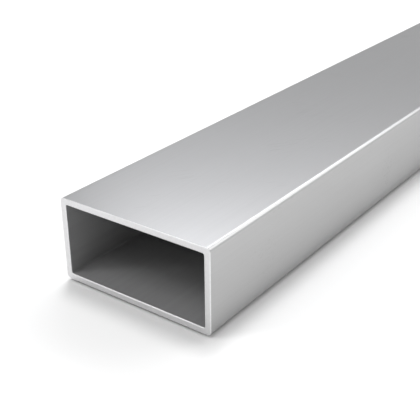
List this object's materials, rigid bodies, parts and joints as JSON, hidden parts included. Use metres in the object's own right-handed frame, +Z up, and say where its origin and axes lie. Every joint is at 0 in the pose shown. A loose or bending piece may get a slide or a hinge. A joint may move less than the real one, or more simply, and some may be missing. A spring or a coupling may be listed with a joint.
{
  "type": "rectangular aluminium tube",
  "caption": "Straight extruded rectangular tube in satin aluminium, open right through, with slightly rounded corners and square-sawn, deburred ends.",
  "frame": {"origin": "centre of the underside, half way along the tube, on the surface that it lies on", "axes": "+Y along the tube, away from the end that the picture shows, +X to the right across its width, +Z up through its height"},
  "size_m": [0.08, 1, 0.04],
  "materials": {
    "aluminium": "mill-finish extruded aluminium, smooth satin, with faint lines along its length and finely sawn ends"
  },
  "bodies": {
    "root": {"tube": "aluminium"}
  },
  "joints": []
}
